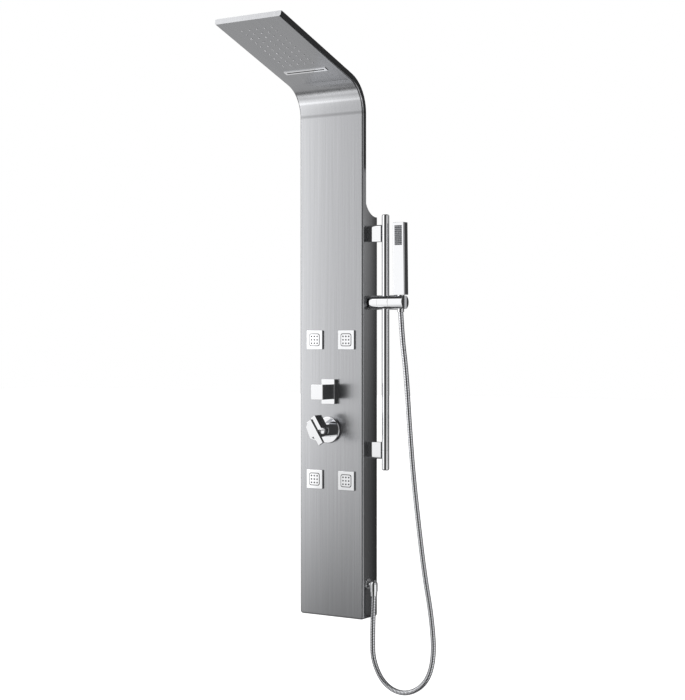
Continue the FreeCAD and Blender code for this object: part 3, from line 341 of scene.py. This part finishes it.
# ---------------------------------------------------------------- folded column and arm
# Stainless sheet, folded to the column's front and sides and up round the bend into the rain arm. The
# face is brushed along its length, and a second sheet closes the arm's top and the slim upper back.

grain_scale = 420.0
grain_length = 0.006


def paint(material, *names):
    """Gives CAD nodes one material."""
    for name in names:
        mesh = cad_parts[name].data
        mesh.materials.clear()
        mesh.materials.append(material)


brushed_steel, tree, shader = new_material("brushed_steel", metallic=1.0)
shader.inputs["Anisotropic"].default_value = 0.5
across_grain = tree.nodes.new("ShaderNodeCombineXYZ")
across_grain.inputs["X"].default_value = 1.0
across_grain.inputs["Y"].default_value = 0.15
tree.links.new(across_grain.outputs["Vector"], shader.inputs["Tangent"])
front_grain = noise(tree, grain_scale, (1, grain_length, grain_length), detail=4.0)
side_grain = noise(tree, grain_scale, (grain_length, 1, grain_length), detail=4.0)
facing = tree.nodes.new("ShaderNodeNewGeometry")
facing_parts = tree.nodes.new("ShaderNodeSeparateXYZ")
tree.links.new(facing.outputs["Normal"], facing_parts.inputs["Vector"])
grain_mix = tree.nodes.new("ShaderNodeMix")
tree.links.new(maths(tree, "ABSOLUTE", facing_parts.outputs["X"]), grain_mix.inputs["Factor"])
tree.links.new(front_grain, grain_mix.inputs["A"])
tree.links.new(side_grain, grain_mix.inputs["B"])
grain = grain_mix.outputs["Result"]
cloud = noise(tree, 5.0, (1, 0.3, 0.3), detail=1.0)
tree.links.new(span(tree, cloud, 0.23, 0.28), shader.inputs["Roughness"])
bump(tree, shader, grain, 0.004 * mm)

# The start of the bend mirrors its surroundings in narrow bands. Strips of darker and brighter steel stand
# in for three of them: (height, half width, how much brighter or darker).
bend_bands = [(0.757, 0.007, -0.3), (0.791, 0.005, 0.35), (0.803, 0.008, -0.3)]
height_on_piece = object_parts(tree)["Z"]
banded = two_tone(tree, grain, (0.345, 0.349, 0.36), (0.465, 0.469, 0.481))
for band_height, band_half, band_gain in bend_bands:
    away = maths(tree, "ABSOLUTE", maths(tree, "SUBTRACT", height_on_piece, band_height))
    scaled = tree.nodes.new("ShaderNodeVectorMath")
    scaled.operation = "SCALE"
    tree.links.new(banded, scaled.inputs["Vector"])
    tree.links.new(span(tree, away, 1 + band_gain, 1.0, end=band_half, soft=True), scaled.inputs["Scale"])
    banded = scaled.outputs["Vector"]
tree.links.new(banded, shader.inputs["Base Color"])
paint(brushed_steel, "front_shell", "rear_cover")

# ---------------------------------------------------------------- back plate and wall hangers
# Plain steel sheet behind the valves, and the two pressed strips that hang on the wall screws. The small
# screws and the lever's pin are of the same steel.

plain_steel, tree, shader = new_material("plain_steel", metallic=1.0)
shader.inputs["Base Color"].default_value = (0.52, 0.53, 0.54, 1)
mill = noise(tree, 220.0, (0.2, 1, 1))
tree.links.new(span(tree, mill, 0.32, 0.48), shader.inputs["Roughness"])
bump(tree, shader, mill, 0.03 * mm)
paint(plain_steel, "back_plate", "wall_hanger_lower", "wall_hanger_upper")
paint(plain_steel, "hanger_screws", "bar_screws", "mixer_pin")

# ---------------------------------------------------------------- water ways inside
# Moulded plastic boxes and pipes, and cast or turned brass valves, nuts and headers.

jet_numbers = range(1, 5)

water_plastic, tree, shader = new_material("water_plastic")
shader.inputs["Base Color"].default_value = (0.72, 0.72, 0.7, 1)
mould = noise(tree, 400.0)
tree.links.new(span(tree, mould, 0.4, 0.55), shader.inputs["Roughness"])
bump(tree, shader, mould, 0.03 * mm)
paint(water_plastic, "rain_chamber", "rain_pipe", "waterfall_pipe", "handset_pipe", "mixer_cartridge")
paint(water_plastic, *(f"jet_{n}_ring" for n in jet_numbers))

raw_brass, tree, shader = new_material("raw_brass", metallic=1.0)
cast = noise(tree, 260.0)
tree.links.new(two_tone(tree, cast, (0.5, 0.36, 0.16), (0.68, 0.52, 0.27)), shader.inputs["Base Color"])
tree.links.new(span(tree, cast, 0.3, 0.5), shader.inputs["Roughness"])
bump(tree, shader, cast, 0.05 * mm)
paint(raw_brass, "mixer_body", "mixer_pipe", "mixer_stem", "diverter_body", "diverter_stem")
paint(raw_brass, "jet_header_upper", "jet_header_lower", "jet_nuts", "elbow_nut")

# ---------------------------------------------------------------- chromed trim
# Brass and zinc castings, polished and chrome plated: mirror bright, with the faint waviness of hand
# polishing.

chrome_tone = (0.88, 0.885, 0.9)


def polish(tree, shader):
    """The waviness that hand polishing leaves."""
    bump(tree, shader, noise(tree, 25.0, detail=1.0), 0.03 * mm)


chrome, tree, shader = new_material("chrome", metallic=1.0)
shader.inputs["Base Color"].default_value = (*chrome_tone, 1)
tree.links.new(span(tree, noise(tree, 60.0), 0.03, 0.07), shader.inputs["Roughness"])
polish(tree, shader)
paint(chrome, "waterfall_spout", "mixer_escutcheon", "mixer_hub", "mixer_lever")
paint(chrome, "diverter_plate", "diverter_knob", "outlet_elbow", "elbow_flange", "hose_nut")
paint(chrome, "bar_end_upper", "bar_end_lower", "slide_bar", "slider_body", "clamp_knob", "holder")
paint(chrome, "handset_body", "handset_cone", *(f"jet_{n}_face" for n in jet_numbers))

# ---------------------------------------------------------------- body jets' frames
# Chromed like the rest in front; behind the front, the floor and walls of the window round the tilting face
# are painted near black, dull and not metal, as the shade in that recess.

recess_shade_front = -69.1 * mm
jet_frame_painted_shade, tree, shader = new_material("jet_frame_painted_shade")
behind = maths(tree, "GREATER_THAN", object_parts(tree)["Y"], recess_shade_front)
tree.links.new(two_tone(tree, behind, chrome_tone, (0.02, 0.02, 0.022)), shader.inputs["Base Color"])
tree.links.new(span(tree, behind, 0.05, 0.6), shader.inputs["Roughness"])
tree.links.new(span(tree, behind, 1.0, 0.0), shader.inputs["Metallic"])
polish(tree, shader)
paint(jet_frame_painted_shade, *(f"jet_{n}_frame" for n in jet_numbers))

# ---------------------------------------------------------------- rain nozzles
# Fifty pegs of pale silicone, pushed from inside through the arm's underside and held between a flange
# and a collar. Each has a fine bore and a soft rounded tip that can be rubbed clean.


def turned(name, outline, sides):
    """A round mesh about Z through these (radius, height) pairs in millimetres, closed at both ends."""
    points = []
    for radius, height in outline:
        for side in range(sides):
            angle = 2 * math.pi * side / sides
            points.append((radius * mm * math.cos(angle), radius * mm * math.sin(angle), height * mm))
    faces = [tuple(reversed(range(sides)))]
    for ring_number in range(len(outline) - 1):
        low = ring_number * sides
        for side in range(sides):
            beside = (side + 1) % sides
            faces.append((low + side, low + beside, low + sides + beside, low + sides + side))
    last_ring = (len(outline) - 1) * sides
    faces.append(tuple(range(last_ring, last_ring + sides)))
    mesh = bpy.data.meshes.new(name)
    mesh.from_pydata(points, [], faces)
    return new_object(name, mesh)


def nozzle_field(name, material):
    """A tree that sets one nozzle on every point of a tilted grid."""
    sizes = ["Columns", "Rows", "Column Pitch", "Row Pitch", "Tilt", "X", "Y", "Z"]
    tree, given, output = node_group(name, sizes)
    grid = tree.nodes.new("GeometryNodeMeshGrid")
    for count, pitch, side in (("Columns", "Column Pitch", "X"), ("Rows", "Row Pitch", "Y")):
        gaps = maths(tree, "SUBTRACT", given.outputs[count], 1.0)
        reach = maths(tree, "MULTIPLY", gaps, given.outputs[pitch])
        tree.links.new(reach, grid.inputs["Size " + side])
        tree.links.new(given.outputs[count], grid.inputs["Vertices " + side])
    stand = tree.nodes.new("GeometryNodeInstanceOnPoints")
    tree.links.new(grid.outputs["Mesh"], stand.inputs["Points"])
    tree.links.new(given.outputs["Geometry"], stand.inputs["Instance"])
    middle = tree.nodes.new("ShaderNodeCombineXYZ")
    turn = tree.nodes.new("ShaderNodeCombineXYZ")
    for axis in "XYZ":
        tree.links.new(given.outputs[axis], middle.inputs[axis])
    tree.links.new(given.outputs["Tilt"], turn.inputs["X"])
    place = tree.nodes.new("GeometryNodeTransform")
    tree.links.new(stand.outputs["Instances"], place.inputs["Geometry"])
    tree.links.new(middle.outputs["Vector"], place.inputs["Translation"])
    tree.links.new(turn.outputs["Vector"], place.inputs["Rotation"])
    finish_output(tree, place.outputs["Geometry"], output, material)
    return tree


def rubber(name, low, high):
    """Soft moulded rubber between two greys, with a faint dusty mottle."""
    material, tree, shader = new_material(name)
    mottle = noise(tree, 700.0)
    shade = two_tone(tree, mottle, (low, low, low * 1.03), (high, high, high * 1.02))
    tree.links.new(shade, shader.inputs["Base Color"])
    tree.links.new(span(tree, mottle, 0.38, 0.55), shader.inputs["Roughness"])
    bump(tree, shader, mottle, 0.02 * mm)
    return material


def field_grid(node, columns, rows, column_pitch, row_pitch, tilt, outward):
    """The sizes of a nozzle field over a CAD node's middle, moved by outward the way its pegs point."""
    low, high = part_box(node)
    middle = (low + high) / 2 + Vector((0, -math.sin(tilt), math.cos(tilt))) * outward
    return {
        "Columns": columns, "Rows": rows, "Column Pitch": column_pitch, "Row Pitch": row_pitch,
        "Tilt": tilt, "X": middle.x, "Y": middle.y, "Z": middle.z,
    }


rain_outline = [
    (3.5, -2.05), (3.5, -1.2), (2.2, -1.2), (2.2, -0.02), (3.2, -0.02), (3.1, 0.35), (2.3, 0.55),
    (2.05, 1.5), (1.65, 1.8), (0.95, 1.8), (0.7, 1.5), (0.7, -0.5),
]
rain_tilt = math.radians(160.8)
rain_grid = field_grid("rain_nozzles", 5.0, 10.0, 22.8 * mm, 20.5 * mm, rain_tilt, 0.13 * mm)
pale_tree = nozzle_field("pale_nozzle_field", rubber("pale_silicone", 0.88, 0.95))
rain_field = grow(turned("rain_peg", rain_outline, 12), pale_tree, rain_grid, "rain_field")
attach(rain_field, "column")
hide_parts("rain_nozzles")

# ---------------------------------------------------------------- jet nozzles
# Nine short black silicone pegs in each body jet, almost flush with the jet's face, each with a collar
# that lies on the face.

jet_outline = [
    (1.4, -0.9), (1.4, -0.02), (2.2, -0.02), (2.2, 0.2), (1.5, 0.32), (1.15, 0.7), (0.6, 0.7), (0.5, 0.5),
    (0.5, -0.3),
]
jet_pitch = 9 * mm
jet_tilt = math.radians(90)
dark_tree = nozzle_field("dark_nozzle_field", rubber("dark_silicone", 0.015, 0.03))
for number in jet_numbers:
    jet_nozzles = f"jet_{number}_nozzles"
    jet_grid = field_grid(jet_nozzles, 3.0, 3.0, jet_pitch, jet_pitch, jet_tilt, 0.1 * mm)
    jet_field = grow(turned("jet_peg", jet_outline, 12), dark_tree, jet_grid, f"jet_{number}_field")
    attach(jet_field, f"jet_{number}_spray")
    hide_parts(jet_nozzles)

# ---------------------------------------------------------------- hand shower's spray pad
# A grey rubber pad let into the hand shower's face, moulded with fine cross ribs between ten rows of
# small pegs.

pad_outline = [(0.95, -0.7), (0.95, 0.6), (0.75, 0.9), (0.4, 0.9), (0.32, 0.7), (0.32, 0.0)]
pad_row_pitch = 4.95 * mm
pad_tilt = math.radians(91.16)
pad_grid = field_grid("handset_nozzles", 3.0, 10.0, 6.47 * mm, pad_row_pitch, pad_tilt, -0.1 * mm)
grey_tree = nozzle_field("grey_nozzle_field", rubber("grey_silicone", 0.5, 0.58))
pad_field = grow(turned("pad_peg", pad_outline, 10), grey_tree, pad_grid, "pad_field")
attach(pad_field, "handset")
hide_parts("handset_nozzles")

pad_rubber, tree, shader = new_material("pad_rubber")
pad_turn = 2 * math.pi / pad_row_pitch
pad_start = math.pi / 2 - pad_turn * pad_grid["Z"]
pad_phase = maths(tree, "MULTIPLY_ADD", object_parts(tree)["Z"], pad_turn, pad_start)
pad_ribs = span(tree, maths(tree, "SINE", pad_phase), 0.0, 1.0, start=-1.0)
pad_shade = two_tone(tree, pad_ribs, (0.55, 0.56, 0.58), (0.06, 0.065, 0.075))
tree.links.new(pad_shade, shader.inputs["Base Color"])
tree.links.new(span(tree, noise(tree, 500.0), 0.3, 0.45), shader.inputs["Roughness"])
bump(tree, shader, pad_ribs, 0.2 * mm)
paint(pad_rubber, "handset_face")

# ---------------------------------------------------------------- floor
# A plain pale floor well below the column, lit evenly so that it runs into the background.

floor_data = bpy.data.meshes.new("floor")
floor_half = 30.0
floor_height = cad_low.z - 0.45
floor_data.from_pydata(
    [(x * floor_half, y * floor_half, floor_height) for x, y in ((-1, -1), (1, -1), (1, 1), (-1, 1))],
    [],
    [(0, 1, 2, 3)],
)
floor = new_object("floor", floor_data)
floor_paint, tree, shader = new_material("floor_paint")
shader.inputs["Base Color"].default_value = (0.85, 0.85, 0.85, 1)
shader.inputs["Roughness"].default_value = 0.9
shader.inputs["Emission Color"].default_value = (1, 1, 1, 1)
seen = tree.nodes.new("ShaderNodeLightPath")
tree.links.new(seen.outputs["Is Camera Ray"], shader.inputs["Emission Strength"])
floor_data.materials.append(floor_paint)
floor.visible_glossy = False

# ---------------------------------------------------------------- light
# One tall soft panel stands close on the left, strongest at its left side and fading to the floor, and a
# small dim reflector stands behind the column's right side. The room round them is pale on the left,
# with a black curtain beside the camera, grey on the right and behind.


def glowing(name, corners, across, upward):
    """Makes a four-cornered light that the camera doesn't see and that casts no shadow. across and upward
    are (low, high, start, end) soft steps over it.
    """
    mesh = bpy.data.meshes.new(name)
    mesh.from_pydata(corners, [], [(0, 1, 2, 3)])
    cover = mesh.uv_layers.new(name="cover")
    for corner, place in zip(cover.data, ((0, 0), (1, 0), (1, 1), (0, 1))):
        corner.uv = place
    glow = bpy.data.materials.new(name)
    glow.use_nodes = True
    tree = glow.node_tree
    tree.nodes.clear()
    place = tree.nodes.new("ShaderNodeSeparateXYZ")
    tree.links.new(tree.nodes.new("ShaderNodeTexCoord").outputs["UV"], place.inputs["Vector"])
    light = tree.nodes.new("ShaderNodeEmission")
    output = tree.nodes.new("ShaderNodeOutputMaterial")
    sideways = span(tree, place.outputs["X"], *across, soft=True)
    fading = span(tree, place.outputs["Y"], *upward, soft=True)
    tree.links.new(maths(tree, "MULTIPLY", sideways, fading), light.inputs["Strength"])
    tree.links.new(light.outputs["Emission"], output.inputs["Surface"])
    mesh.materials.append(glow)
    lamp = new_object(name, mesh)
    lamp.visible_camera = False
    lamp.visible_shadow = False


panel_middle = Vector((-0.33, -0.60, 0.1))
panel_across = Vector((0.835, -0.55, 0.0))
panel_up = Vector((0, 0, 1))
panel_corners = []
for across, up in ((-0.45, -1.2), (0.22, -1.2), (0.22, 0.9), (-0.45, 0.9)):
    panel_corners.append(panel_middle + panel_across * across + panel_up * up)
glowing("light_panel", panel_corners, (2.1, 1.08, 0.44, 0.64), (0.12, 1.0, 0.0, 0.57))

reflector_places = ((0.115, -0.57), (0.21, -0.57), (0.21, 0.62), (0.115, 0.62))
reflector_corners = [(x, 0.03, z) for x, z in reflector_places]
glowing("side_reflector", reflector_corners, (0.05, 0.6, 0.0, 0.6), (0.35, 1.0, 0.2, 1.0))

world = bpy.data.worlds.new("studio")
world.use_nodes = True
bpy.context.scene.world = world
tree = world.node_tree
tree.nodes.clear()
parts = tree.nodes.new("ShaderNodeSeparateXYZ")
tree.links.new(tree.nodes.new("ShaderNodeTexCoord").outputs["Generated"], parts.inputs["Vector"])

# Degrees round the column from its front, growing towards +X, and degrees above the horizon.
degrees = 180 / math.pi
frontward = maths(tree, "MULTIPLY", parts.outputs["Y"], -1.0)
turn_angle = maths(tree, "MULTIPLY", maths(tree, "ARCTAN2", parts.outputs["X"], frontward), degrees)
lift_angle = maths(tree, "MULTIPLY", maths(tree, "ARCSINE", parts.outputs["Z"]), degrees)


def window(angle, low, high, soft):
    """1 between low and high, falling to 0 over soft degrees outside."""
    rising = maths(tree, "DIVIDE", maths(tree, "SUBTRACT", angle, low - soft), soft, clamp=True)
    falling = maths(tree, "DIVIDE", maths(tree, "SUBTRACT", high + soft, angle), soft, clamp=True)
    return maths(tree, "MULTIPLY", rising, falling)


# Lit parts of the room: (turn from, to, lift from, to, soft edge, all in degrees, and strength).
room_strength = 0.06
room_cards = [
    (-68, -14, -40, 38, 4, 1.1),
    (-62, -22, 18, 44, 4, 2.0),
    (52, 112, -45, 45, 6, 0.6),
    (54, 104, -45, -6, 3, 0.6),
    (-180, -90, -80, -24, 8, 0.75),
    (-180, -120, -16, 50, 6, 0.5),
]
total = room_strength
for turn_low, turn_high, lift_low, lift_high, soft, strength in room_cards:
    across = window(turn_angle, turn_low, turn_high, soft)
    upright = window(lift_angle, lift_low, lift_high, soft)
    card = maths(tree, "MULTIPLY", maths(tree, "MULTIPLY", across, upright), strength)
    total = maths(tree, "ADD", total, card)

# The camera sees the background white, whatever lights the column.
light_path = tree.nodes.new("ShaderNodeLightPath")
shown = tree.nodes.new("ShaderNodeBackground")
shown.inputs["Color"].default_value = (1, 1, 1, 1)
lighting = tree.nodes.new("ShaderNodeBackground")
choose = tree.nodes.new("ShaderNodeMixShader")
world_output = tree.nodes.new("ShaderNodeOutputWorld")
tree.links.new(total, lighting.inputs["Strength"])
tree.links.new(light_path.outputs["Is Camera Ray"], choose.inputs["Fac"])
tree.links.new(lighting.outputs["Background"], choose.inputs[1])
tree.links.new(shown.outputs["Background"], choose.inputs[2])
tree.links.new(choose.outputs["Shader"], world_output.inputs["Surface"])

bpy.context.scene.view_settings.view_transform = "Standard"
